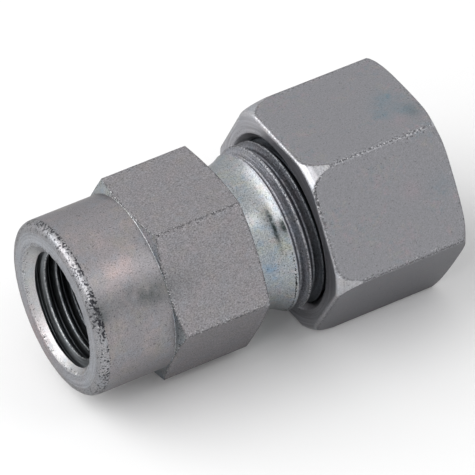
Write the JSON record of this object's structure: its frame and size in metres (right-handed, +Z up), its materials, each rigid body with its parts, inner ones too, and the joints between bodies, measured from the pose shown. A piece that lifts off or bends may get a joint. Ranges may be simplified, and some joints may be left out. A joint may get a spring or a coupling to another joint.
{
  "type": "gauge coupler",
  "caption": "Straight steel gauge coupler: a hexagon body with a female gauge port, a threaded neck, and a hexagon union nut over a cutting ring for a tube.",
  "frame": {"origin": "centre of the bounding box's base, on the plane of the union nut's lowest flat", "axes": "+X along the coupler's axis from the gauge port to the union nut, +Z up, off the nut's top flat"},
  "size_m": [0.0414, 0.0252, 0.022],
  "materials": {
    "body_zinc": "clear zinc plating, fine matt grain on the flats, faint iridescence on the turned parts",
    "nut_zinc": "clear zinc plating, satin, slightly mottled",
    "ring_steel": "plain turned steel, dull"
  },
  "bodies": {
    "body": {"coupler_body": "body_zinc"},
    "ring": {"cutting_ring": "ring_steel"},
    "nut": {"union_nut": "nut_zinc"}
  },
  "joints": [
    {"name": "nut_travel", "type": "slide", "parent": "body", "child": "ring", "axis": [1, 0, 0], "range_m": [0, 0.003]},
    {"name": "nut_turn", "type": "hinge", "parent": "ring", "child": "nut", "pos_m": [0.01298, 0, 0.011], "axis": [1, 0, 0], "range_deg": [0, 720]}
  ],
  "couplings": [
    {"joint": "nut_travel", "follows": "nut_turn", "m_per_rad": 0.00023873}
  ]
}
